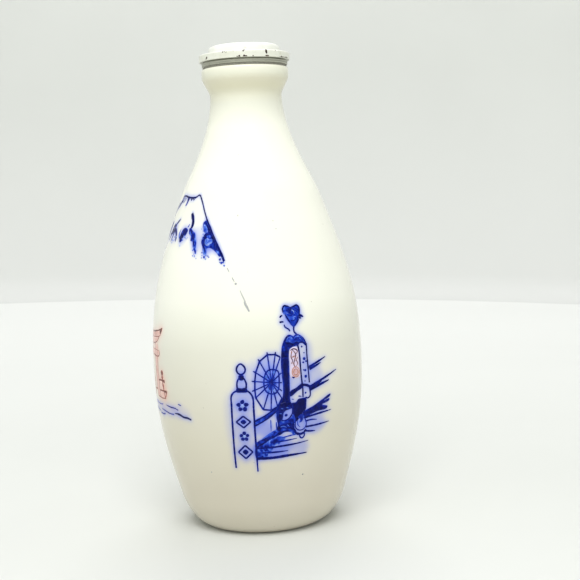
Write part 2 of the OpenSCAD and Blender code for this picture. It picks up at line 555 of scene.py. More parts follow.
class Motif:
    """One painted motif: a thin closed mesh of brush strokes that lies on the glaze."""

    def __init__(self, name, material, wash=None, surface=BottleSide):
        self.name, self.material, self.wash, self.surface = name, material, wash, surface
        self.verts, self.faces, self.tones = [], [], []
        self.strokes = 0

    def lift(self, layer):
        """Each stroke lies a little above the last, so that crossing strokes don't share a face."""
        self.strokes += 1
        return LAYER_RISE * layer + STROKE_RISE * self.strokes

    def keep(self, across, z, lift, tone):
        start = len(self.verts)
        self.verts.extend(map(tuple, spots_on(self.surface, across, z, lift)))
        self.tones.extend(np.broadcast_to(tone, np.shape(across)))
        return start

    def stroke(self, points, width, tone=0.85, tips=(0.7, 0.4), layer=1, closed=False):
        """A brush line through points; tips are the widths of its ends, as shares of width."""
        line = smooth_line(points, STROKE_STEP, closed)
        if closed:
            line = np.vstack([line, line[:1]])
        ahead = np.gradient(line, axis=0)
        scale = self.surface.narrowing(line[:, 1])
        ahead[:, 0] *= scale
        ahead /= np.maximum(np.hypot(*ahead.T), 1e-9)[:, None]
        side = np.stack([-ahead[:, 1] / scale, ahead[:, 0]], 1)
        # the width swells from the first tip and thins to the last, and wavers a little
        share = np.linspace(0, 1, len(line))
        swell = np.interp(share, [0, 0.25, 0.6, 1], [tips[0], 1, 1, tips[1]])
        half = 0.5 * width * swell * (0.88 + 0.24 * soft_noise(line[:, 0] * 1.9, line[:, 1] * 1.9))
        # a section's top: how far out, as a share of half, and how high; two points close it below
        ring = ((-1.0, 0.0), (-0.62, 1.0), (0.0, 1.15), (0.62, 1.0), (1.0, 0.0))
        paler_edges = np.array([-0.22, -0.04, 0, -0.04, -0.22, 0, 0])
        base = self.lift(layer)
        start = len(self.verts)
        wet = 0.2 * (soft_noise(line[:, 0] * 1.3 + 3, line[:, 1] * 1.3) - 0.5)
        for place, half_here, normal, more in zip(line, half, side, wet):
            offsets = np.array([o * half_here for o, _ in ring] + [half_here, -half_here])
            lifts = np.array([base * (0.3 + 0.7 * h) + CROWN * h for _, h in ring] + [UNDER_GLAZE] * 2)
            strength = tone + more + paler_edges
            self.keep(place[0] + normal[0] * offsets, place[1] + normal[1] * offsets, lifts, strength)
        sides = len(ring) + 2
        for k in range(len(line) - 1):
            a = start + k * sides
            for j in range(sides):
                n = (j + 1) % sides
                self.faces.append((a + n, a + j, a + sides + j, a + sides + n))
        last = start + (len(line) - 1) * sides
        self.faces.append(tuple(start + j for j in range(sides)))
        self.faces.append(tuple(last + j for j in reversed(range(sides))))
        if self.wash:
            WASH.drop(self.wash, line[:, 0], line[:, 1], 2 * half * STROKE_STEP * ink_share(tone))

    def area(self, outline, tone=0.85, layer=0, mottle=0.1, step=0.35):
        """A filled patch with a smooth outline, darker inside and mottled like a wet brush."""
        edge = smooth_line(outline, step, closed=True)
        if np.sum(edge[:, 0] * np.roll(edge[:, 1], -1) - np.roll(edge[:, 0], -1) * edge[:, 1]) < 0:
            edge = edge[::-1]
        xs, zs = (np.arange(line.min(), line.max(), PATCH_GRID) + PATCH_GRID / 2 for line in edge.T)
        inner = np.array([(x, z) for x in xs for z in zs]).reshape(-1, 2)
        inner = inner[gap_to(edge, inner) > 0.25]
        places = [Vector(p) for p in np.vstack([edge, inner])]
        loop = list(range(len(edge)))
        verts, _, faces, _, _, _ = delaunay_2d_cdt(places, [], [loop], 1, 1e-5)
        flat = np.array([tuple(v) for v in verts])
        inside = np.clip(gap_to(edge, flat) / 0.4, 0, 1)
        marks = soft_noise(flat[:, 0] * 0.9 + 7, flat[:, 1] * 0.9)
        marks = marks + soft_noise(flat[:, 0] * 2.1, flat[:, 1] * 2.1)
        marks = (marks - 1) * 1.6 * mottle
        base = self.lift(layer)
        top = self.keep(flat[:, 0], flat[:, 1], base + CROWN * inside, tone - 0.2 * (1 - inside) + marks)
        under = self.keep(flat[:, 0], flat[:, 1], np.full(len(flat), UNDER_GLAZE), tone)
        sides = {}
        for a, b, c in faces:
            ring = flat[[a, b, c]]
            turn = np.cross(ring[1] - ring[0], ring[2] - ring[0])
            a, b, c = (a, b, c) if turn > 0 else (a, c, b)
            self.faces.append((top + a, top + b, top + c))
            self.faces.append((under + a, under + c, under + b))
            for p, q in ((a, b), (b, c), (c, a)):
                sides[(p, q)] = True
            if self.wash:
                WASH.drop(self.wash, *ring.mean(0), abs(turn) / 2 * ink_share(tone))
        for p, q in sides:
            if (q, p) not in sides:
                self.faces.append((top + q, top + p, under + p, under + q))

    def spray(self, across, z, half_w, half_h, count, tone=0.7):
        """Fine specks scattered round a brush mark."""
        for k in range(count):
            turn, reach = FULL_TURN * hash_noise(across + k, z), math.sqrt(hash_noise(z + k, across))
            size = 0.1 + 0.13 * hash_noise(k, across + z)
            self.dot(across + half_w * reach * math.cos(turn), z + half_h * reach * math.sin(turn), size,
                     tone - 0.3 * hash_noise(z, k))

    def dot(self, across, z, radius, tone=0.85, layer=1):
        """A small round blot, slightly uneven."""
        turns = np.radians(np.arange(0, 360, 60))
        uneven = radius * (0.85 + 0.3 * hash_noise(across + turns, z))
        wide = uneven * np.cos(turns) / self.surface.narrowing(z)
        ring = np.stack([across + wide, z + uneven * np.sin(turns)], 1)
        self.area(ring, tone, layer, 0.05, radius * 0.6)

    def dots(self, *blots):
        for blot in blots:
            self.dot(*blot)

    def hazes(self, *patches):
        """Soft ovals of thin colour: (across, z, half width, half height, amount)."""
        for patch in patches:
            WASH.haze(self.wash, *patch)

    def finish(self, body="bottle"):
        make_piece(self.name, self.verts, self.faces, body, [self.material],
                   tones={"tone": np.clip(self.tones, 0, 1)})


# ---- the picture
# Places are (across, up) in millimetres. Across is the arc from the front of the bottle on a
# radius of PICTURE_R, to the viewer's right. Up is the height above the foot.

def paint_mountain():
    m = Motif("painted_mountain", COBALT, "blue")
    # wavy rim of the crater, and the two slopes
    m.stroke([(-39, 100.4), (-36.6, 100.5), (-33.5, 100.1), (-28.5, 99.9), (-26.8, 100.1), (-25.2, 100.6),
        (-24, 100.2)], 0.55, 1, (0.7, 0.8))
    m.stroke([(-24.4, 100.4), (-22.3, 98.4), (-20.3, 95.9), (-18.4, 93.5)], 0.46, 1, (0.9, 1))
    m.stroke([(-18.8, 94), (-16.3, 90.9), (-14.2, 88.1), (-12.2, 85.5), (-10.6, 83.2), (-9.8, 81.7)],
        0.85, 0.96, (0.5, 0.9))
    m.stroke([(-38.8, 100.4), (-40.2, 98.9), (-42.6, 97.3), (-46, 96.2), (-50, 93.4), (-54, 88.6),
        (-57.4, 84), (-60, 80.4)], 0.6, 1, (0.8, 0.7))
    # furrows under the crater's left half
    for x, z, dx, dz in ((-37.6, 100.2, -4.4, -2.6), (-36.2, 100.1, -4.6, -2), (-35.2, 99.8, -2.6, -1.4),
            (-42, 98.4, -4, -1.1), (-39.4, 98.9, -2.4, -1.7)):
        m.stroke([(x, z), (x + dx * 0.5, z + dz * 0.62), (x + dx, z + dz)], 0.28, 0.95, (0.8, 0.4))
    m.area([(-34.1, 100.1), (-31.9, 99.8), (-32.5, 98.8), (-33.2, 97.8), (-34.4, 97.6), (-33.6, 98.8)], 0.9)
    m.stroke([(-31, 99.9), (-30.2, 99.2), (-29.3, 99.9), (-28.4, 99.2), (-27.4, 99.9)], 0.36, 1)
    # brush marks at the foot of the snow
    m.stroke([(-27.3, 95.4), (-26.4, 94.4), (-25.6, 93.3), (-25.4, 92.2), (-25.8, 91.1)], 1.15, 1,
        (0.8, 0.7))
    m.area([(-24.8, 90.2), (-23, 89.6), (-21.8, 87.6), (-21.4, 85.6), (-21, 83.8), (-22.4, 85),
        (-23.6, 87.2)], 0.5, mottle=0.4)
    m.area([(-26.8, 91.2), (-25.6, 91), (-24.6, 90.4), (-23.1, 89.3), (-22.3, 87.7), (-22.7, 86.4),
        (-21.8, 85.2), (-21.1, 83.9), (-21.9, 84.6), (-23.1, 85.9), (-23.7, 87.3), (-24.9, 87.6),
        (-25.2, 88.9), (-26.6, 89.7)], 0.74, mottle=0.3)
    m.stroke([(-25.6, 90.6), (-24.6, 89.4), (-23.4, 88.4), (-22.8, 87)], 0.6, 0.92, layer=2)
    m.stroke([(-35, 93.8), (-36.6, 93), (-38.4, 92.1), (-40.6, 91.2)], 0.6, 1, (0.5, 0.4))
    m.stroke([(-43, 89.3), (-40.5, 89.9), (-38.3, 90.7), (-36.6, 90.2), (-35.3, 89.1), (-34.7, 87.3)],
        1.3, 0.9, (0.4, 0.35))
    m.stroke([(-39.6, 92.3), (-40.8, 91.2), (-41.3, 89.4), (-42.6, 87.6)], 1, 0.95, (0.4, 0.3))
    m.stroke([(-37.6, 92.6), (-38.2, 91.4), (-38.6, 89.2), (-39.8, 87.2)], 0.8, 0.92, (0.4, 0.3))
    m.stroke([(-44.4, 92.4), (-45.2, 90.4), (-46.6, 88.2)], 0.9, 0.85, (0.4, 0.3))
    m.area([(-32.1, 88.5), (-31.2, 90.6), (-29.6, 91.3), (-27.5, 90.6), (-28.2, 89.2), (-29.5, 88.6),
        (-30.1, 87.4), (-31.4, 87.1)], 0.88, mottle=0.2)
    m.stroke([(-32.2, 88.2), (-33, 89.6), (-32.4, 90.8)], 0.5, 0.45)
    m.stroke([(-28, 91.4), (-27.2, 92.3)], 0.4, 0.5)
    # the big brush mark against the right slope, with its light heart
    m.area([(-19.9, 92.7), (-18.4, 93.3), (-16.4, 91), (-14.2, 88.2), (-12.2, 85.5), (-10.8, 83.3),
        (-11.5, 83), (-12.7, 84), (-14, 84.9), (-15.6, 85.5), (-16.8, 85.2), (-16.6, 83.8), (-17.3, 83.3),
        (-18.1, 84.2), (-18.6, 85.7), (-19.5, 87.2), (-19.2, 88.6), (-18.4, 89.5), (-17.2, 90.2),
        (-18.4, 91.5)], 0.66, mottle=0.36)
    m.stroke([(-18.6, 92.6), (-16.4, 90.2), (-14.2, 87.6), (-12.2, 84.6)], 0.7, 0.92, layer=2)
    m.stroke([(-18.9, 87.8), (-17.8, 89), (-16.4, 89.4), (-14.9, 88.6)], 0.55, 0.86, layer=2)
    m.stroke([(-18.6, 86.4), (-17.6, 85.2), (-17.3, 84.2)], 0.5, 0.88, layer=2)
    m.area([(-17.9, 87.8), (-16.9, 88.3), (-16.1, 87.9), (-15.1, 88.1), (-14.8, 87), (-15.6, 86.7),
        (-16.6, 86.1), (-17.7, 86.6)], 0.36, layer=2, mottle=0.2)
    m.stroke([(-17.2, 87.4), (-16.5, 87), (-16.1, 87.5), (-15.6, 87.1)], 0.26, 0.6, layer=3)
    m.area([(-19.9, 92.6), (-18.6, 92), (-17.4, 90.6), (-18, 89.7), (-19, 90.2), (-19.6, 91.2)], 0.6,
        mottle=0.4)
    m.spray(-17.6, 83.9, 2, 1.4, 16)
    m.spray(-10.4, 81.8, 1.2, 1.2, 6)
    m.spray(-22, 84.6, 1.3, 1.4, 9)
    m.spray(-19.4, 90, 0.9, 2.6, 10, 0.6)
    m.spray(-28.6, 88, 2.2, 1.2, 9, 0.6)
    m.spray(-36.6, 88, 2.4, 1.4, 10, 0.6)
    m.dots((-18.5, 84.2, 0.22, 0.7), (-17.4, 83, 0.34, 0.75), (-16.7, 82.4, 0.2, 0.6),
            (-15.5, 82.9, 0.22, 0.6), (-11.3, 82.2, 0.3, 0.8), (-10.7, 81.3, 0.34, 0.7),
            (-9.7, 80.5, 0.24, 0.6), (-21.5, 83.1, 0.2, 0.4), (-20.7, 82.6, 0.16, 0.35),
            (-30.5, 86.1, 0.2, 0.35))
    # the far slope, round the bottle's side
    m.stroke([(-43.6, 92.7), (-46, 92), (-48.5, 90.5), (-50.4, 88.2), (-51.6, 85.8)], 1.3, 0.84, (0.5, 0.3))
    m.stroke([(-51.8, 91.6), (-54.4, 88), (-56.8, 84.4), (-58.8, 81.6)], 1.2, 0.86, (0.4, 0.3))
    m.area([(-54.9, 87.2), (-53.2, 86.6), (-52.6, 84.6), (-53.4, 83), (-54.6, 83.4), (-55, 85.2)], 0.8)
    for x, z, r in ((-52, 83.6, 0.25), (-54.2, 81.6, 0.3), (-57, 81, 0.22), (-49.6, 84.9, 0.2)):
        m.dot(x, z, r, 0.65)
    # pale blue of the snow
    m.hazes((-22, 88, 2.6, 3.4, 0.24), (-30, 89, 3, 2.6, 0.22),
            (-38, 89.6, 3, 2.6, 0.22), (-16.4, 87, 2, 3, 0.5), (-14, 85.6, 2.4, 1.8, 0.22),
            (-46, 89, 4, 3, 0.16), (-54, 86, 3.4, 3, 0.16), (-20, 86, 2, 3, 0.1))
    m.finish()
    far = Motif("painted_slope_line", GREY_LINE)
    far.stroke([(-8.7, 79.9), (-7.9, 78.6)], 0.3, 0.5)
    far.stroke([(-7, 77.2), (-6.2, 75.9)], 0.3, 0.5)
    far.dot(-5.8, 75.4, 0.32, 0.75)
    far.stroke([(-4.5, 73.5), (-3.3, 71), (-2.2, 68.2)], 0.42, 0.42, (0.6, 0.9))
    far.stroke([(-3.4, 70.4), (-2.6, 69), (-1.9, 67.6)], 0.7, 0.56, (0.2, 0.6))
    far.stroke([(-60.6, 79.4), (-61.8, 77.4)], 0.3, 0.5)
    far.stroke([(-63, 75.4), (-64.8, 72.4), (-66, 69.8)], 0.3, 0.5)
    far.finish()


TORII_AT = -52.5     # the gate's middle, across


def paint_torii():
    """The shrine gate, mirrored about its middle; only its right end faces the viewer."""
    m = Motif("painted_torii", IRON_RED, "red")
    roof = [(0, 60.2), (8, 60.4), (13, 60.9), (16, 61.4), (18.3, 62.1), (17.5, 60.8), (16.8, 59.9),
        (12, 59.1), (6, 58.8), (0, 58.7)]
    under_roof = [(0, 58.5), (12, 58.9), (16, 59.4), (15, 58.5), (13.6, 57.7), (11, 57.1), (6, 56.7),
        (0, 56.6)]
    beam = [(0, 55.3), (10, 55.3), (15.8, 55.2), (16.1, 54.5), (15.7, 53.8), (10, 53.6), (0, 53.6)]
    pillar = [(12.3, 57), (14.1, 57), (14.4, 49), (14.7, 41.2), (12.5, 41.2), (12.2, 49)]
    for side in (1, -1):
        def place(points):
            return [(TORII_AT + side * x, z) for x, z in points]
        for outline, tone in ((roof, 0.36), (under_roof, 0.24), (beam, 0.26), (pillar, 0.24)):
            m.area(place(outline), tone, mottle=0.16)
        m.stroke(place(roof[:5]), 0.5, 0.95, (1, 0.7))
        m.area(place([(16.4, 61.4), (18.2, 62.1), (17.6, 60.7), (17, 60.2)]), 1, layer=2)
        m.hazes((TORII_AT + side * 17, 44.5, 3, 4, 0.22))
        m.stroke(place(roof[4:10]), 0.3, 0.75, (0.8, 0.6))
        m.stroke(place(under_roof[2:8]), 0.42, 0.85, (0.7, 0.6))
        m.stroke(place(beam[:3]), 0.3, 0.75)
        m.stroke(place(beam[2:7]), 0.42, 0.85, (0.8, 0.6))
        m.stroke(place([(12.3, 57), (12.2, 49), (12.5, 41.3)]), 0.3, 0.7)
        m.stroke(place([(14.1, 57), (14.4, 49), (14.7, 41.3)]), 0.36, 0.8)
        # small outer post with its caps, and the two ties
        m.stroke(place([(17.5, 49.6), (17.4, 47.6), (17.7, 45), (18.6, 41.2)]), 0.75, 0.8, (0.6, 0.8))
        m.dot(TORII_AT + side * 17.4, 48.8, 0.85, 0.95)
        m.dot(TORII_AT + side * 17.5, 47.4, 0.6, 0.85)
        m.stroke(place([(14.4, 46.3), (16, 46.5), (18.9, 46.4)]), 0.62, 0.9, (0.7, 0.9))
        m.dot(TORII_AT + side * 18.6, 46.4, 0.55, 0.95)
        m.dot(TORII_AT + side * 17.8, 44.9, 0.6, 0.85)
        m.stroke(place([(14.6, 43.3), (17, 43.4), (20, 43.3)]), 0.62, 0.9, (0.7, 0.9))
        m.dot(TORII_AT + side * 19.4, 43.2, 0.6, 0.95)
        m.stroke(place([(19.4, 43.4), (19.3, 42.2), (18.4, 41.2)]), 0.5, 0.75)
        m.stroke(place([(13, 41.3), (16, 41.1), (19, 41.2)]), 0.42, 0.8)
        m.stroke(place([(12, 43.3), (9.6, 43.3)]), 0.5, 0.8)
        m.stroke(place([(9.8, 47), (9.6, 44), (9, 41.3)]), 0.6, 0.8)
        m.area(place([(14.6, 46), (17.2, 46), (17.7, 43.6), (14.6, 43.6)]), 0.12)
        m.area(place([(14.8, 43), (18.6, 43), (18.3, 41.5), (14.8, 41.5)]), 0.18)
    m.area([(TORII_AT - 1.4, 53.7), (TORII_AT + 1.4, 53.7), (TORII_AT + 1.4, 56.7),
        (TORII_AT - 1.4, 56.7)], 0.3)
    m.finish()


def paint_water():
    m = Motif("painted_water", COBALT, "blue")
    for points, width, tone in (
            ([(-34.2, 39.3), (-31, 39), (-28.6, 38.9), (-27.3, 38.5)], 0.34, 0.62),
            ([(-38.6, 37.7), (-35, 37.3), (-31.6, 36.9), (-29.8, 37)], 0.34, 0.6),
            ([(-29.3, 37.4), (-27, 37.3), (-25, 36.7), (-23.4, 36.6), (-22, 36.2)], 0.55, 0.85),
            ([(-27.1, 40.4), (-25.7, 40.1)], 0.3, 0.6),
            ([(-40, 36.2), (-37.4, 36.1), (-35.6, 36.4)], 0.4, 0.5),
            ([(-47.5, 38.9), (-43, 39.2), (-39, 38.9), (-36.4, 39.2)], 0.3, 0.5),
            ([(-50, 36.4), (-46, 37), (-42, 36.9), (-40.4, 36.6)], 0.34, 0.55),
            ([(-60, 39.2), (-56, 38.9), (-52, 39.2), (-49.4, 38.9)], 0.3, 0.6),
            ([(-64, 37), (-60, 37.4), (-56, 37.2), (-52, 37.5)], 0.34, 0.6),
            ([(-72, 38.4), (-69, 38.9), (-65, 38.6), (-62, 38.9)], 0.34, 0.6),
            ([(-76, 36.4), (-73, 36.9), (-70, 36.6), (-67, 37)], 0.45, 0.75),
            ([(-57, 35.4), (-53, 35.1), (-50.6, 35.5)], 0.34, 0.55),
            ([(-80, 37.6), (-78.2, 37.9), (-76.6, 37.7)], 0.3, 0.6)):
        m.stroke(points, 1.15 * width, tone + 0.24, (0.3, 0.9))
    for x in range(-75, -26, 6):
        WASH.haze("blue", x, 38, 4.6, 2, 0.12)
        WASH.haze("red", x, 39, 4.6, 1.8, 0.05)
    m.finish()


def paint_post():
    """Bridge post with its onion finial. The panel carries blossoms and lozenges."""
    m = Motif("painted_bridge_post", COBALT, "blue")
    m.stroke([(-6.6, 45.3), (-7.4, 44.8), (-8, 44), (-8.15, 41), (-8.3, 34), (-8.45, 27), (-8.5, 22.4)],
        0.58, 0.9, (0.9, 0.9))
    m.stroke([(-3.4, 45.3), (-2.6, 44.6), (-2, 43.5), (-1.85, 40), (-1.8, 33), (-1.7, 27), (-1.6, 21.2)],
        0.58, 0.9, (0.9, 0.8))
    m.area([(-6.6, 45), (-6.3, 46.2), (-5, 46.1), (-3.7, 46.2), (-3.3, 45), (-5, 44.8)], 0.95)
    m.stroke([(-6.2, 46), (-6.25, 47.4), (-5.9, 48.5), (-5.4, 49.1)], 0.5, 0.85, (1, 0.8))
    m.stroke([(-3.7, 46), (-3.6, 47.4), (-4, 48.5), (-4.5, 49.1)], 0.55, 0.95, (1, 0.8))
    m.area([(-5.7, 48.7), (-5.6, 49.8), (-4.9, 50), (-4.3, 49.8), (-4.2, 48.8), (-4.6, 48.3),
        (-5.3, 48.3)], 0.95)
    m.stroke([(-5, 50), (-5.9, 50.5), (-6.2, 51.5), (-5.7, 52.6), (-5, 53), (-4.3, 52.6), (-3.7, 51.5),
        (-4, 50.5)], 0.55, 0.92, (1, 1), closed=True)
    for z, size in ((41, 1.9), (32, 1.6)):
        for turn in np.radians(np.arange(90, 450, 72)):
            m.dot(-5 + 0.6 * size * math.cos(turn), z + 0.6 * size * math.sin(turn), 0.34 * size, 0.92)
        m.dot(-5, z, 0.26 * size, 0.3, layer=2)
    for z, half_w, half_h in ((36.3, 2.1, 1.7), (27.3, 2.2, 2)):
        corners = [(-5 - half_w, z), (-5, z + half_h), (-5 + half_w, z), (-5, z - half_h)]
        for k in range(4):
            m.stroke([corners[k], corners[(k + 1) % 4]], 0.5, 0.92, (1, 1))
        m.area([(x * 0.42 - 5 * 0.58, z + (y - z) * 0.42) for x, y in corners], 0.95)
    m.hazes(*[(-5, z, 2.7, 3.6, 0.3) for z in (28, 34, 40, 43)])
    m.hazes((-5, 49, 1, 3, 0.5), (-9.6, 37, 0.9, 7, 0.09))
    m.finish()


PARASOL_AT = (3.5, 47.3)


def paint_parasol():
    m = Motif("painted_parasol", COBALT, "blue")
    rim = [(6.3, 54.4), (4.9, 55.2), (2.7, 55.3), (0.4, 53.5), (-0.8, 50.4), (-1.15, 47.9), (-1.25, 45.4),
        (-1.1, 43.2), (0.9, 39.7), (3.1, 39.4), (5, 40.2), (6.3, 42.6)]
    x0, z0 = PARASOL_AT
    for a, b in zip(rim, rim[1:]):
        m.stroke([a, b], 0.52, 0.85, (1, 1))
    for x, z in rim + [(6.4, 49.9), (6.5, 47.1), (6.4, 44.7)]:
        m.stroke([(x0, z0), ((x0 + x) / 2, (z0 + z) / 2), (x, z)], 0.42, 0.8, (0.8, 0.9))
    for x, z in rim[1:7]:
        reach = math.hypot(x - x0, z - z0)
        m.stroke([(x, z), (x + (x - x0) / reach * 0.9, z + (z - z0) / reach * 0.75)], 0.42, 0.9, (1, 0.6))
    inner = [(5.5, 50.4), (4.2, 51), (2.9, 50.9), (2, 50.1), (1.5, 48.6), (1.35, 47.2), (1.5, 45.8),
        (2.2, 44.6), (3.3, 44.1), (4.5, 44.2), (5.4, 45.3), (5.7, 47.4), (5.7, 49)]
    m.stroke(inner, 0.48, 0.82, (1, 1), closed=True)
    m.area(oval(x0, z0, 0.8, 1.1, 30), 0.62, mottle=0.3)
    for k in range(12):
        turn = math.radians(30 * k + 15)
        m.stroke([(x0 + 0.7 * math.cos(turn), z0 + math.sin(turn)),
            (x0 + 1.5 * math.cos(turn), z0 + 2.3 * math.sin(turn))], 0.3, 0.6)
    for x, z in ((2.9, 50.2), (4.3, 50.2), (2.1, 49), (2.6, 45.1), (4.2, 45)):
        m.area([(x - 0.35, z), (x, z + 0.5), (x + 0.35, z), (x, z - 0.5)], 0.52, layer=2)
    m.hazes((2.8, 47.3, 3.2, 6.8, 0.55), (3.5, 47.5, 1.4, 2.6, 0.5), (-1.8, 48.5, 1.6, 5, 0.2))
    m.finish()


def paint_lady():
    m = Motif("painted_lady", COBALT, "blue")
    # hair, with its pins and the light on it
    m.area([(7.9, 68.4), (8.6, 68.9), (9.6, 68.6), (10.4, 68.2), (11.3, 68.4), (12.3, 68.8), (13.1, 68.3),
        (13.3, 67.2), (13.1, 66), (12.9, 64.9), (12.3, 63.9), (11.6, 62.9), (10.9, 62.5), (10.1, 63.1),
        (9.4, 64.1), (8.7, 65.1), (8.4, 66), (7.8, 66.8), (7.7, 67.6)], 0.6, mottle=0.3)
    for points, width, tone in (
            ([(8, 66.9), (7.9, 67.8), (8.4, 68.6), (9.4, 68.5), (10.4, 68)], 0.5, 0.95),
            ([(10.4, 68), (11.4, 68.3), (12.4, 68.6), (13, 68), (13.1, 66.8), (12.8, 65)], 0.5, 0.95),
            ([(10.5, 68), (10.1, 67.2), (10.2, 66.4)], 0.4, 0.9),
            ([(8.5, 66.2), (9.2, 65), (10, 63.6)], 0.45, 0.9),
            ([(12.6, 64.6), (12, 63.7), (11.2, 62.9)], 0.45, 0.9),
            ([(8.9, 67.4), (9.6, 67.3)], 0.4, 0.9),
            ([(9.5, 65.9), (10.4, 65.8), (11.1, 66.4)], 0.34, 0.85),
            ([(11.9, 67.2), (12.4, 66.4)], 0.4, 0.9),
            ([(10.2, 64.4), (11, 64.3), (11.7, 64.8)], 0.4, 0.88),
            ([(10.6, 67.4), (11.2, 67), (11.4, 66.2)], 0.3, 0.3),
            ([(11.1, 65.4), (11.8, 65.4)], 0.26, 0.3),
            ([(9, 66.6), (9.6, 66.5)], 0.22, 0.3)):
        m.stroke(points, width, tone, layer=2)
    m.stroke([(12.7, 65.8), (13.5, 65.5), (14.2, 65.1)], 0.75, 0.95, (1, 0.3))
    m.stroke([(12.8, 65), (13.5, 64.8)], 0.5, 0.95, (1, 0.5))
    # a few marks for the face, the jaw and the nape
    m.stroke([(6.9, 65.4), (7.2, 65.8), (7.7, 66)], 0.55, 0.98, (0.8, 0.6))
    m.stroke([(6.7, 64.1), (7.3, 64.2), (7.9, 64.2)], 0.55, 0.98, (0.8, 0.7))
    m.stroke([(8, 63.4), (8.2, 62.8), (8.8, 62.3), (9.3, 62), (9.6, 61.4)], 0.46, 0.9, (0.7, 0.8))
    m.stroke([(10.9, 62.6), (10.8, 61.8), (11, 61), (11.6, 60.5)], 0.48, 0.88, (1, 1))
    # kimono: shoulders and the dark side
    m.area([(7.6, 59), (8.3, 60), (9, 60.5), (9.8, 60.4), (10.5, 60), (11.3, 60.5), (12.1, 60.4),
        (13.1, 59.8), (13.9, 59), (14.4, 57.9), (14.5, 56.8), (14, 57), (13.2, 57.7), (12.4, 57.8),
        (11.8, 57.2), (11, 57.1), (10, 56.9), (9.2, 56.4), (8.9, 55), (8.8, 50), (8.75, 46), (8.7, 42.5),
        (8.9, 40.2), (7.6, 39.4), (6, 39.8), (5.5, 40.8), (6.5, 43), (6.7, 46), (6.5, 49.5), (6.4, 52.5),
        (6.6, 55), (6.9, 57.3)], 0.88, mottle=0.2)
    m.area([(6.9, 54), (6.8, 50), (7, 46), (6.9, 43), (7.4, 41.6), (8.4, 41.8), (8.5, 46), (8.6, 50),
        (8.5, 54)], 0.98, layer=2, mottle=0.06)
    m.area([(8.2, 58.6), (8.8, 59.8), (9.8, 60), (10.4, 59.2), (11.2, 59.9), (12.6, 59.8), (13.6, 58.9),
        (13.9, 57.9), (13, 58.3), (12.2, 58.1), (11.2, 58.4), (10.4, 57.9), (9.4, 58.3)], 0.66, layer=2,
        mottle=0.34)
    m.stroke([(8.5, 59.1), (8.9, 59.6), (9.6, 59.5), (9.7, 58.9)], 0.22, 0.4, layer=3)
    m.stroke([(12.2, 59.4), (13, 58.8)], 0.24, 0.46, layer=3)
    m.stroke([(11.7, 57.3), (12, 55.5), (12.15, 52), (12.3, 48.5), (12.55, 45.8)], 0.5, 1, (1, 1))
    m.stroke([(14.4, 57.6), (14.4, 54), (14.6, 50), (14.8, 46.3)], 0.45, 1, (1, 0.9))
    m.stroke([(14.7, 45), (15, 43.6), (14.9, 42.4), (14.2, 41.9), (13.4, 42.2)], 0.45, 0.95, (1, 1))
    m.stroke([(12.65, 45.2), (12.65, 42.3)], 0.45, 1, (1, 1))
    for x, z, r in ((13.5, 53.3, 0.46), (13.1, 52.3, 0.3), (14, 52.5, 0.3), (13.6, 50, 0.36),
            (13.1, 50.1, 0.2), (13.7, 48.2, 0.42), (13.4, 46.9, 0.2), (13.5, 43.5, 0.32),
            (12.9, 56.8, 0.28), (13.5, 55, 0.2)):
        m.dot(x, z, r, 0.9)
    m.stroke([(9.5, 48.5), (10, 48.2), (10.4, 48.3)], 0.46, 0.95)
    # skirt, hem and the lining at the left
    m.area([(9.2, 41), (10.4, 41.1), (11.1, 41.9), (12.3, 42.1), (13.6, 42), (13.7, 40.5), (13.5, 38.7),
        (12.7, 37.9), (12, 37), (11.2, 36), (10.5, 35.4), (9.9, 36.3), (9.5, 37.7), (9.4, 39.3)], 1.0,
        mottle=0.06)
    m.stroke([(11.2, 42.8), (12.2, 42.6)], 0.34, 0.8)
    m.stroke([(9.2, 42.1), (9.9, 42)], 0.3, 0.6)
    m.area([(5, 40.2), (6.2, 41.2), (8.6, 41.4), (9.3, 40.7), (9.4, 39.6), (8.4, 39.2), (7.3, 38.9),
        (6.7, 38.2), (6.5, 37.2), (6.2, 36.1), (5.2, 36), (4.9, 37.8)], 0.94, layer=2, mottle=0.2)
    for x, z in ((6.3, 39.6), (7.8, 39.8), (5.8, 38.2)):
        m.area([(x - 0.35, z), (x, z + 0.16), (x + 0.4, z - 0.1), (x, z - 0.18)], 0.66, layer=3)
    m.area([(5.6, 36.2), (7.4, 36), (8.8, 36.7), (9.6, 37.6), (10.2, 36), (10, 35), (8.6, 35.2),
        (6.8, 35.4)], 0.74, mottle=0.3)
    m.stroke([(5.5, 39.8), (5.3, 38.2), (5.6, 36.8)], 0.8, 0.95, (1, 0.8))
    m.stroke([(6.1, 39), (6.2, 37.8), (6.2, 36.6)], 0.4, 0.9)
    m.stroke([(9.4, 39.6), (9.3, 38), (8.4, 36.7), (7.3, 36.1), (6.1, 36.1)], 0.42, 0.9, (1, 1))
    m.dot(7.4, 37.6, 0.46, 0.98)
    m.stroke([(10.4, 36.6), (10.2, 35.2), (10.2, 33.9), (10.9, 33), (12.1, 32.7), (13.2, 33.2),
        (13.7, 34.3), (13.4, 35.6), (12.9, 36.6)], 0.36, 0.8, (1, 1))
    m.stroke([(9.9, 33.2), (10.5, 32), (11.5, 31.6), (12.8, 31.8), (13.7, 32.7)], 0.75, 0.94, (0.8, 0.8))
    m.stroke([(11.6, 31.8), (11.7, 30.8), (12.3, 30.3), (13, 30.7), (13.2, 31.7)], 0.45, 0.85, (1, 1))
    m.stroke([(12.4, 37.6), (12.3, 36.3)], 0.3, 0.7)
    m.area([(10.6, 36.6), (11.4, 37.2), (12.5, 37.4), (12.8, 36.2), (12.2, 35.2), (11.3, 35), (11.7, 36)],
        0.8, mottle=0.3)
    m.stroke([(10.9, 35.6), (11, 34.4), (11.7, 33.6)], 0.34, 0.6)
    m.finish()
    sash = Motif("painted_sash", SASH_PAINT)
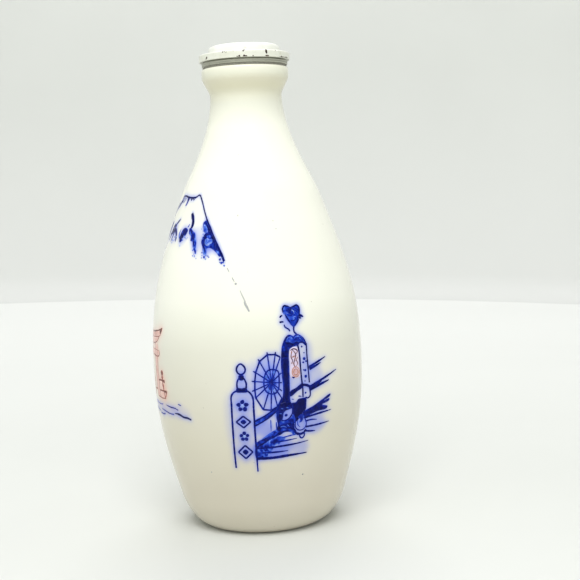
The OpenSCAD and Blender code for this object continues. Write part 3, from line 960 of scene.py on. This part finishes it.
    sash.area([(9.3, 56.2), (10.4, 56.9), (11.5, 56.6), (11.8, 52), (11.9, 48.2), (10.8, 47.9),
        (9.2, 48.3), (9.1, 52)], 0.04, mottle=0.1)
    # an orange bloom on a leafy vine
    for wide, tall, tone in ((1.15, 1.5, 0.42), (0.4, 0.5, 0.9)):
        sash.area(oval(10.7, 49.8, wide, tall, 40), tone, layer=2, mottle=0.2)
    for wide, tall, tone in ((1.1, 1.45, 0.68), (0.66, 0.85, 0.8)):
        sash.stroke(oval(10.7, 49.8, wide, tall, 40), 0.28, tone, (1, 1), layer=3, closed=True)
    sash.stroke([(10.6, 51), (10.2, 52.2), (10.6, 53.5), (10.9, 54.7), (10.2, 55.9), (9.6, 56.3)], 0.34,
        1, layer=3)
    sash.stroke([(9.4, 56), (10.2, 56.4), (11, 56.2), (11.5, 55.6), (11, 54.9)], 0.36, 1, layer=3)
    sash.stroke([(9.6, 55.2), (9.5, 54), (9.9, 53), (9.4, 52.2)], 0.3, 1, layer=3)
    sash.stroke([(11.5, 54), (11, 53.2), (11.4, 52.2), (10.8, 51.4)], 0.26, 0.95, layer=3)
    for x, z, lean, tall in ((9.9, 52.4, 1.2, -0.3), (10.9, 53, -1, 0.5), (10.2, 54.2, 1, 0.5),
            (11, 55.4, -0.8, 0.6), (9.7, 55.4, 0.2, 1)):
        sash.area([(x - 0.5 * lean, z - 0.5 * tall), (x + 0.16, z - 0.14),
            (x + 0.5 * lean, z + 0.5 * tall), (x - 0.16, z + 0.14)], 1, layer=3)
    sash.finish()


def paint_bridge():
    m = Motif("painted_bridge", COBALT, "blue")
    # upper rails, right of the lady
    m.stroke([(14.9, 50.8), (17.5, 51.8), (20.7, 53.1)], 0.62, 0.9, (1, 0.4))
    m.stroke([(15, 50.1), (16.9, 50.8), (18.9, 51.6)], 0.66, 0.92, (1, 0.4))
    m.stroke([(14.9, 50.5), (16.6, 51.2)], 0.6, 0.8, (1, 0.3))
    m.area([(8.8, 44.4), (10.6, 45.3), (12.6, 46.4), (13, 45.5), (11, 44.2), (8.8, 42.9)], 0.96,
        mottle=0.06)
    m.stroke([(12.6, 45.9), (14, 45.6), (15.2, 44.9)], 0.8, 0.95, (1, 1))
    m.stroke([(15, 45.1), (17.5, 46.1), (20.5, 47.2), (24.8, 48.8)], 0.7, 0.92, (1, 0.35))
    m.stroke([(15, 44.2), (18, 45.2), (21.7, 46.2)], 0.8, 0.95, (1, 0.4))
    m.stroke([(15, 44.7), (17.2, 45.5), (19, 46.2)], 0.7, 0.9, (1, 0.3))
    # rails left of the lady
    m.area([(5.3, 40.7), (2, 38.4), (-1.8, 36.4), (-1.8, 34.9), (1, 36.3), (2.8, 37.4), (4.9, 39.3)],
        0.74, mottle=0.3)
    m.stroke([(-1.7, 36.3), (2, 38.3), (5.2, 40.5)], 0.42, 0.95, (1, 1), layer=2)
    m.stroke([(-1.7, 35), (1, 36.4), (2.8, 37.5), (4.8, 39.2)], 0.42, 0.92, (1, 1), layer=2)
    m.stroke([(2.9, 36.6), (2.9, 33.2)], 0.36, 0.6)
    m.stroke([(4.5, 35.8), (4.5, 33.6)], 0.4, 0.6)
    m.area([(4.6, 39), (5.4, 39), (5.5, 36.2), (6.8, 35.6), (8.6, 35.4), (9.7, 35.2), (10, 33.6),
        (10.6, 32.2), (9.6, 31.6), (8.8, 32.4), (7, 32.6), (5.6, 31.9), (4.3, 31.4), (2.6, 30.4),
        (1, 29.2), (-0.6, 28.4), (-1.6, 28.2), (-1.7, 29.8), (0, 31), (2.6, 32.8), (4.4, 33.8), (4.9, 35),
        (4.6, 36.6)], 0.8, mottle=0.34)
    for points in ([(4.8, 38.6), (5, 36.6), (5.3, 35)], [(8.6, 35.2), (9.4, 34.2), (9.9, 32.6)],
            [(3.6, 31.4), (5.6, 32.6), (7.4, 33)], [(-1.4, 28.7), (1.2, 30.2), (3.2, 31.8)]):
        m.stroke(points, 0.5, 0.95, layer=2)
    m.stroke([(5.6, 34.2), (6.6, 34.4), (7.6, 33.9)], 0.26, 0.5, layer=2)
    m.stroke([(7.8, 34.8), (8.4, 34)], 0.24, 0.45, layer=2)
    m.area([(-1.7, 29), (-0.6, 29), (0.3, 27.6), (0.4, 26.2), (0.2, 25.2), (-1.7, 25)], 0.84)
    m.stroke([(-0.6, 30.6), (2, 31.9), (3.6, 32.8)], 0.22, 0.5, layer=2)
    # planks
    m.area([(-1.6, 25.4), (-1.6, 28.4), (0.5, 29.6), (3, 30.8), (5.5, 31.6), (7.2, 30.8), (5.4, 29.4),
        (3.4, 28), (2.4, 26.6), (1, 25.3)], 0.58, mottle=0.4)
    for points, width, tone in (
            ([(-1.6, 25.2), (3, 25.2), (8, 25.5), (14.2, 25.7)], 0.85, 0.96),
            ([(0.1, 26.9), (4, 26.85), (8, 27)], 0.6, 0.88),
            ([(-1.4, 28.3), (3, 28.4), (7, 28.6), (11, 28.9), (14.5, 29.3)], 0.6, 0.92),
            ([(2.6, 29.9), (6, 30), (10.8, 30.4)], 0.5, 0.8),
            ([(6, 31), (9, 31.5), (11, 31.6)], 0.4, 0.66),
            ([(13, 32.4), (14.6, 32.1), (16.8, 31.9)], 0.6, 0.9),
            ([(13.6, 33.5), (17, 33.6), (21.9, 33.95)], 0.55, 0.92),
            ([(13.4, 35.2), (15.3, 35.4), (17.3, 35.2)], 0.5, 0.76),
            ([(13.2, 36.3), (17, 36.8), (22.5, 37.3)], 0.65, 0.92)):
        m.stroke(points, width, tone, (1, 0.35))
    m.hazes((0.8, 34.2, 2.6, 2.2, 0.65), (3.6, 28, 5.3, 2.6, 0.8),
            (12, 27.6, 2.6, 1.6, 0.4), (16.6, 34, 3.4, 2.6, 0.45), (17, 48, 2.4, 2.4, 0.3),
            (15.4, 54, 1, 4, 0.16), (13.6, 50, 0.9, 6, 0.4), (9.4, 64, 1.6, 2.4, 0.36),
            (7.4, 37.6, 2, 2, 0.5), (11.9, 34.6, 1.6, 2, 0.5), (10.5, 47, 1.4, 2.2, 0.3),
            (10.6, 66, 3, 3, 0.1))
    # lower rail at the right, frayed into three tips
    m.area([(12.6, 38), (13.6, 38.5), (16, 39.4), (19, 40.8), (22.3, 42), (22.2, 41.5), (19.8, 40.4),
        (21.9, 40.7), (21.8, 40.2), (19.2, 39.3), (21.2, 38.5), (20.9, 38), (17.5, 37.6), (15.2, 37),
        (13, 36.5), (12.6, 37.2)], 0.92)
    m.finish()


def paint_specks():
    """Iron specks under the glaze."""
    m = Motif("glaze_specks", GREY_LINE)
    m.dots((9, 90.2, 0.16, 0.6), (-17.6, 20.6, 0.2, 0.7), (13.4, 19, 0.24, 0.9),
            (60, 70, 0.2, 0.8), (84, 35, 0.25, 0.8), (-95, 60, 0.22, 0.7), (70, 104, 0.18, 0.7),
            (38, 27, 0.16, 0.6), (-70, 88, 0.16, 0.6))
    m.finish()


paint_mountain()
paint_torii()
paint_water()
paint_post()
paint_parasol()
paint_lady()
paint_bridge()
paint_specks()


# ---- the porcelain

def bottle():
    # the mesh is finer where the picture is
    left, right, low, high = -82, 40, 17, 106

    def skin_step(place):
        return 0.5 if low < place[1] < high else 0.9

    outer = resample(OUTER, skin_step)
    ahead = np.gradient(OUTER, axis=0)
    ahead /= np.hypot(*ahead.T)[:, None]
    inset = OUTER - WALL * np.stack([ahead[:, 1], -ahead[:, 0]], 1)
    cavity = inset[(inset[:, 1] > FLOOR_Z + 6) & (inset[:, 1] < BORE_Z - 1) & (inset[:, 0] > BORE_R + 0.3)]
    inside = np.vstack([
        [(BORE_R, BOTTLE_H - MOUTH_ROUND), (BORE_R, BORE_Z)], cavity[::-1],
        bezier(cavity[0], cavity[0] - (1, 4.5), (FLOOR_R + 6, FLOOR_Z), (FLOOR_R, FLOOR_Z), 20),
        [(FLOOR_R, FLOOR_Z)],
    ])
    foot_in = FOOT_R - FOOT_W
    recess = bezier((foot_in - 3.1, RECESS - 0.1), (foot_in - 1.5, RECESS - 0.2), (foot_in - 0.9, 0.9),
                    (foot_in, 0.3), 8)
    foot = np.vstack([
        [(0, RECESS), (7, RECESS)], recess, arc((foot_in + 0.5, 0.5), 0.5, 200, 270, 4), [(FOOT_R - 0.8, 0)],
    ])
    rows = np.vstack([
        foot, outer,
        arc((LIP[0] - 0.8, BOTTLE_H - 0.8), 0.8, 0, 90, 6)[1:],
        arc((BORE_R + MOUTH_ROUND, BOTTLE_H - MOUTH_ROUND), MOUTH_ROUND, 90, 180, 6),
        resample(inside, 1.6)[1:], [(0, FLOOR_Z)],
    ])
    outside = (np.arange(len(rows)) >= len(foot)) & (np.arange(len(rows)) < len(foot) + len(outer))
    girth = 2 * math.pi * PICTURE_R
    painted = np.arange(left, right, 0.55)
    plain = np.arange(right, girth + left, 1.3)
    angles = np.concatenate([painted, plain]) / PICTURE_R

    def bumps(k, turn):
        return ripple(turn, rows[k][1]) if outside[k] else 0

    verts, faces, row_of_face = lathe(rows, angles, bumps)
    # the glaze was wiped off the ring that the bottle stands on
    ring = (rows[:, 1] < 0.45) & (rows[:, 0] > foot_in - 0.4) & (np.arange(len(rows)) < len(foot) + 3)
    bare = ring[row_of_face].astype(int)
    x, y, z = (np.array(verts) / MM).T
    across = np.arctan2(x, -y) * PICTURE_R
    # well past the picture's right edge, places count as lying to its left
    across = np.where(across > right + 20, across - girth, across)
    skin = np.hypot(x, y) > radius_at(z) - 1
    # each ink bleeds as a mix of two blurs: (blur in mm, share)
    wash = np.zeros((len(x), 4))
    for channel, colour, strength, blurs in ((0, "blue", 1.6, ((0.35, 0.5), (0.8, 0.5))),
            (1, "red", 0.8, ((0.7, 0.5), (1.6, 0.6)))):
        ink = sum(share * WASH.read(WASH.blurred(colour, blur), across, z) for blur, share in blurs)
        wash[:, channel] = np.where(skin, 1 - np.exp(-strength * ink), 0)
    wash[:, 3] = 1
    piece = make_piece("porcelain_bottle", verts, faces, "bottle", [PORCELAIN, BISCUIT], bare,
                       {"wash": wash})
    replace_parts(piece, "bottle_body")


bottle()


# ---- the stopper

ROUND = np.radians(np.arange(0, 360, 1.5))
SKIRT_Z, CAP_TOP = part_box("cap_shell")[0][2] / MM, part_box("cap_shell")[1][2] / MM
BRIM_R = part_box("cap_shell")[1][0] / MM
BAND_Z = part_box("clamp_ring")[0][2] / MM
TONGUE_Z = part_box("clamp_ring")[1][2] / MM
LEG_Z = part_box("stopper_plug")[0][2] / MM
WASHER_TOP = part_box("seal_washer")[1][2] / MM
FLANGE_Z = SKIRT_Z + 0.05
SHEET, GAP = 0.35, 0.05
CROWN_R, CROWN_H, CROWN_ROUND = 10.8, 2.5, 1.4
BRIM_Z = CAP_TOP - CROWN_H
BRIM_ROUND = 0.5
CAP_DENTS = 0.012
COLLAR_R, ROOT_R, LEG_R, RIB_R, CORE_R, FLANGE_R, TONGUE_R = 9.5, 8.25, 7.5, 7.95, 5.8, 12.6, 13.25
CAP_EDGE = np.vstack([
    [(BRIM_R, SKIRT_Z + 0.1), (BRIM_R, BRIM_Z - BRIM_ROUND)],
    arc((BRIM_R - BRIM_ROUND, BRIM_Z - BRIM_ROUND), BRIM_ROUND, 0, 90, 8)[1:],
    [(CROWN_R + 0.4, BRIM_Z)],
])


def dent(turn, amount):
    """Small unevenness of a pressed and often-handled sheet, mm."""
    return amount * (np.sin(3 * turn + 1) + 0.6 * np.sin(7 * turn + 2.2) + 0.4 * np.sin(13 * turn))


def handled(amount):
    return lambda _, turn: dent(turn, amount)


def turned(name, rows, body, material, node, bumps=None):
    verts, faces, _ = lathe(rows, ROUND, bumps)
    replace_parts(make_piece(name, verts, faces, body, [material]), node)


def cap():
    middle = (CROWN_R - CROWN_ROUND, CAP_TOP - CROWN_ROUND)
    fillet = (CROWN_R + 0.4, BRIM_Z + 0.4)
    shoulder = (BRIM_R - BRIM_ROUND, BRIM_Z - BRIM_ROUND)
    rows = np.vstack([
        [(0, CAP_TOP - SHEET), (5, CAP_TOP - SHEET)],
        arc(middle, CROWN_ROUND - SHEET, 90, 0),
        arc(fillet, 0.4 + SHEET, 180, 270),
        arc(shoulder, BRIM_ROUND - SHEET, 90, 0, 4),
        [(BRIM_R - SHEET, SKIRT_Z + 0.3)],
        arc((BRIM_R - 0.16, SKIRT_Z + 0.16), 0.16, 180, 370, 8),
        [(BRIM_R - 0.03, SKIRT_Z + 0.45), (BRIM_R - 0.01, SKIRT_Z + 1)],
        arc(shoulder, BRIM_ROUND, 0, 90, 8),
        arc(fillet, 0.4, 270, 180),
        arc(middle, CROWN_ROUND, 0, 90, 12),
        [(6, CAP_TOP - 0.03), (3, CAP_TOP - 0.05), (0, CAP_TOP - 0.06)],
    ])
    turned("enamelled_cap", rows, "stopper", cap_enamel(), "cap_shell", handled(CAP_DENTS))
    # chips in the enamel, where bare iron has rusted
    m = Motif("cap_chips", rust_chip(), surface=CapEdge)
    skirt_h = BRIM_Z - SKIRT_Z
    for degrees, along, r in ((-27, 0.8, 0.14), (-24.5, 0.84, 0.12), (-23, 0.76, 0.2), (-13, 0.82, 0.14),
                              (-1, 0.82, 0.18), (0.5, 0.9, 0.13), (43, 0.86, 0.1), (-54, 0.3, 0.2),
                              (-55.5, 0.16, 0.12), (-6, 0.07, 0.2), (-8.5, 0.05, 0.12), (0, 0.08, 0.24),
                              (2.5, 0.06, 0.16), (11, 0.05, 0.14), (54, 0.05, 0.18), (66, 0.04, 0.2),
                              (118, 0.95, 0.2), (122, 0.85, 0.14), (163, 0.03, 0.22), (171, 0.02, 0.14),
                              (204, 0.9, 0.16), (238, 0.04, 0.2), (251, 0.92, 0.12)):
        m.dot(math.radians(degrees) * BRIM_R, along * skirt_h, 1.6 * r)
    at = math.radians(28.5) * BRIM_R
    m.stroke([(at, skirt_h * 0.94), (at - 0.05, skirt_h * 0.7), (at + 0.14, skirt_h * 0.36)], 0.62,
        tips=(1, 0.5))
    m.stroke([(at - 0.3, 0.14), (at + 0.25, 0.16), (at + 0.8, 0.13)], 0.42, tips=(0.8, 0.8))
    edge = [(math.radians(turn) * BRIM_R, 0.12) for turn in (50, 58, 66, 74)]
    m.stroke(edge, 0.16, tips=(0.4, 0.4))
    m.finish("stopper")


def band():
    rows = np.vstack([
        [(COLLAR_R + GAP, BAND_Z), (12.6, BAND_Z)],
        arc((12.6, BAND_Z + 0.32), 0.32, -90, 0, 6),
        [(12.9, BAND_Z + 0.6)],
        bezier((12.9, BAND_Z + 0.82), (13.02, BAND_Z + 0.95), (13, BAND_Z + 1.15),
               (12.82, BAND_Z + 1.24), 6),
        [(12.66, BAND_Z + 1.34), (12.66, FLANGE_Z), (TONGUE_R, FLANGE_Z), (TONGUE_R, TONGUE_Z)],
        [(FLANGE_R + GAP, TONGUE_Z), (FLANGE_R + GAP, FLANGE_Z), (COLLAR_R + GAP, FLANGE_Z)],
    ])
    turned("tinplate_band", rows, "stopper", bare_metal(), "clamp_ring", handled(0.01))


def washer():
    rows = np.vstack([
        [(ROOT_R + GAP, BOTTLE_H), (12.4, BOTTLE_H)],
        arc((12.45, BOTTLE_H + 0.25), 0.25, -90, 90, 8), [(ROOT_R + GAP, WASHER_TOP)],
    ])
    turned("rubber_washer", rows, "seal", washer_rubber(), "seal_washer", handled(0.015))


def plug():
    tip = 2.0
    rib_places = [LEG_Z + (BOTTLE_H - LEG_Z) * k / 4 for k in (1, 2, 3)]
    ribs = [bezier((LEG_R, z - 0.7), (RIB_R - 0.1, z - 0.5), (RIB_R, z - 0.25), (RIB_R, z), 6)
            for z in rib_places]
    backs = [bezier((RIB_R, z), (RIB_R, z + 0.25), (RIB_R - 0.1, z + 0.5), (LEG_R, z + 0.7), 6)
             for z in rib_places]
    boss_r, boss_z = CROWN_R - SHEET - GAP, CAP_TOP - SHEET - GAP
    round_r = CROWN_ROUND - SHEET
    rows = np.vstack([
        [(0, LEG_Z + 0.25), (0.9, LEG_Z + 0.25), (1.1, LEG_Z)],
        arc((LEG_R - tip, LEG_Z + tip), tip, -90, 0, 10),
        *[line for pair in zip(ribs, backs) for line in pair],
        [(LEG_R, BOTTLE_H + GAP), (ROOT_R, BOTTLE_H + GAP), (ROOT_R, BAND_Z), (COLLAR_R, BAND_Z)],
        [(COLLAR_R, FLANGE_Z), (FLANGE_R, FLANGE_Z)],
        [(FLANGE_R, BRIM_Z - SHEET - GAP), (boss_r, BRIM_Z - SHEET - GAP)],
        arc((boss_r - round_r, boss_z - round_r), round_r, 0, 90),
        [(CORE_R, boss_z), (CORE_R, LEG_Z + tip), (0, LEG_Z + tip)],
    ])
    turned("plastic_plug", rows, "stopper", plug_plastic(), "stopper_plug")


cap()
band()
washer()
plug()


# ---- stage, lights and camera

def stage():
    """A pale round table with a wall behind it all round, which the camera sees over the bottle."""
    table, corner, wall = 680.0, 24.0, 590.0
    flat, tilt = 250.0, 0.0426
    table_rows = [(r, 0) for r in (0, 60, flat, 350, 450, 550, 620, table)]
    rows = np.vstack([
        table_rows,
        arc((table, corner), corner, -90, 0, 8)[1:],
        [(table + corner + 8, corner + 60), (table + corner + 60, corner + wall)],
    ])
    verts, faces, row_of_face = lathe(rows[::-1], np.radians(np.arange(0, 360, 5)), open_ended=True)
    # beyond its flat middle the table leans, so that its far edge is level in the photograph's view
    verts = np.array(verts)
    lean = np.clip((np.hypot(verts[:, 0], verts[:, 1]) / MM - flat) / (table - flat), 0, 1)
    verts[:, 2] -= tilt * verts[:, 0] * lean
    materials = []
    # each goes from a mottled tone, level, at near to an even grey at far: metres up the wall, or
    # along the table from its middle. The lighter grey at the wall's foot and the table's far edge is
    # painted light, brightening the corner where they meet
    for name, far, near, grey, level in (("pale_wall", 0, 0.2, 227, 213),
            ("pale_table", 0.66, 0.12, 242, 215)):
        material, tree, shader = new_material(name)
        place = add(tree, "TexCoord").outputs["Object"]
        if name == "pale_table":
            place = add(tree, "VectorMath", {"operation": "LENGTH"}, Vector=place).outputs["Value"]
        else:
            place = add(tree, "SeparateXYZ", Vector=place).outputs["Z"]
        mottled = ramp(tree, noise(tree, 5, 3), (0.3, rgb(level, level + 2, level - 2)),
                       (0.7, rgb(level + 5, level + 7, level + 3)))
        tone = mix(tree, spread(tree, place, near, far), mottled, rgb(grey, grey + 1, grey - 1))
        tree.links.new(tone, shader.inputs["Base Color"])
        shader.inputs["Roughness"].default_value = 0.9
        materials.append(material)
    mesh = smooth_mesh("floor", verts, faces, materials)
    on_table = len(rows) - len(table_rows)
    mesh.polygons.foreach_set("material_index", [1 if k >= on_table else 0 for k in row_of_face])
    put_in_scene("floor", mesh)


def lights():
    """A soft light over the front and a weaker one over the back, both aimed at the belly."""
    belly = Vector((0, 0, 0.08))
    for name, place, power in (("key", (-0.04, -0.42, 0.74), 4.2), ("back", (0.05, 0.48, 0.70), 2.1)):
        light = bpy.data.lights.new(name, "AREA")
        light.shape = "RECTANGLE"
        light.size, light.size_y = 0.5, 0.4
        light.energy = power
        lamp = put_in_scene(name, light)
        lamp.location = place
        lamp.rotation_euler = (belly - Vector(place)).to_track_quat("-Z", "Y").to_euler()
    world = bpy.data.worlds.new("studio")
    world.use_nodes = True
    background = world.node_tree.nodes["Background"].inputs
    background["Color"].default_value = (1, 1, 1, 1)
    background["Strength"].default_value = 0.56
    bpy.context.scene.world = world
    bpy.context.scene.view_settings.view_transform = "Standard"


def camera():
    """The photograph's view, worked out from the bottle's outline in it."""
    pan, down, roll = (math.radians(angle) for angle in (-1.79, 5.36, -2.44))
    data = bpy.data.cameras.new("camera")
    data.sensor_width = 36
    data.lens = 70.2
    eye = put_in_scene("camera", data)
    place = Matrix.Translation((0, -0.34645, 0.10277))
    turn = Matrix.Rotation(pan, 4, "Z") @ Matrix.Rotation(math.pi / 2 - down, 4, "X")
    eye.matrix_world = place @ turn @ Matrix.Rotation(roll, 4, "Z")
    bpy.context.scene.camera = eye


stage()
lights()
camera()
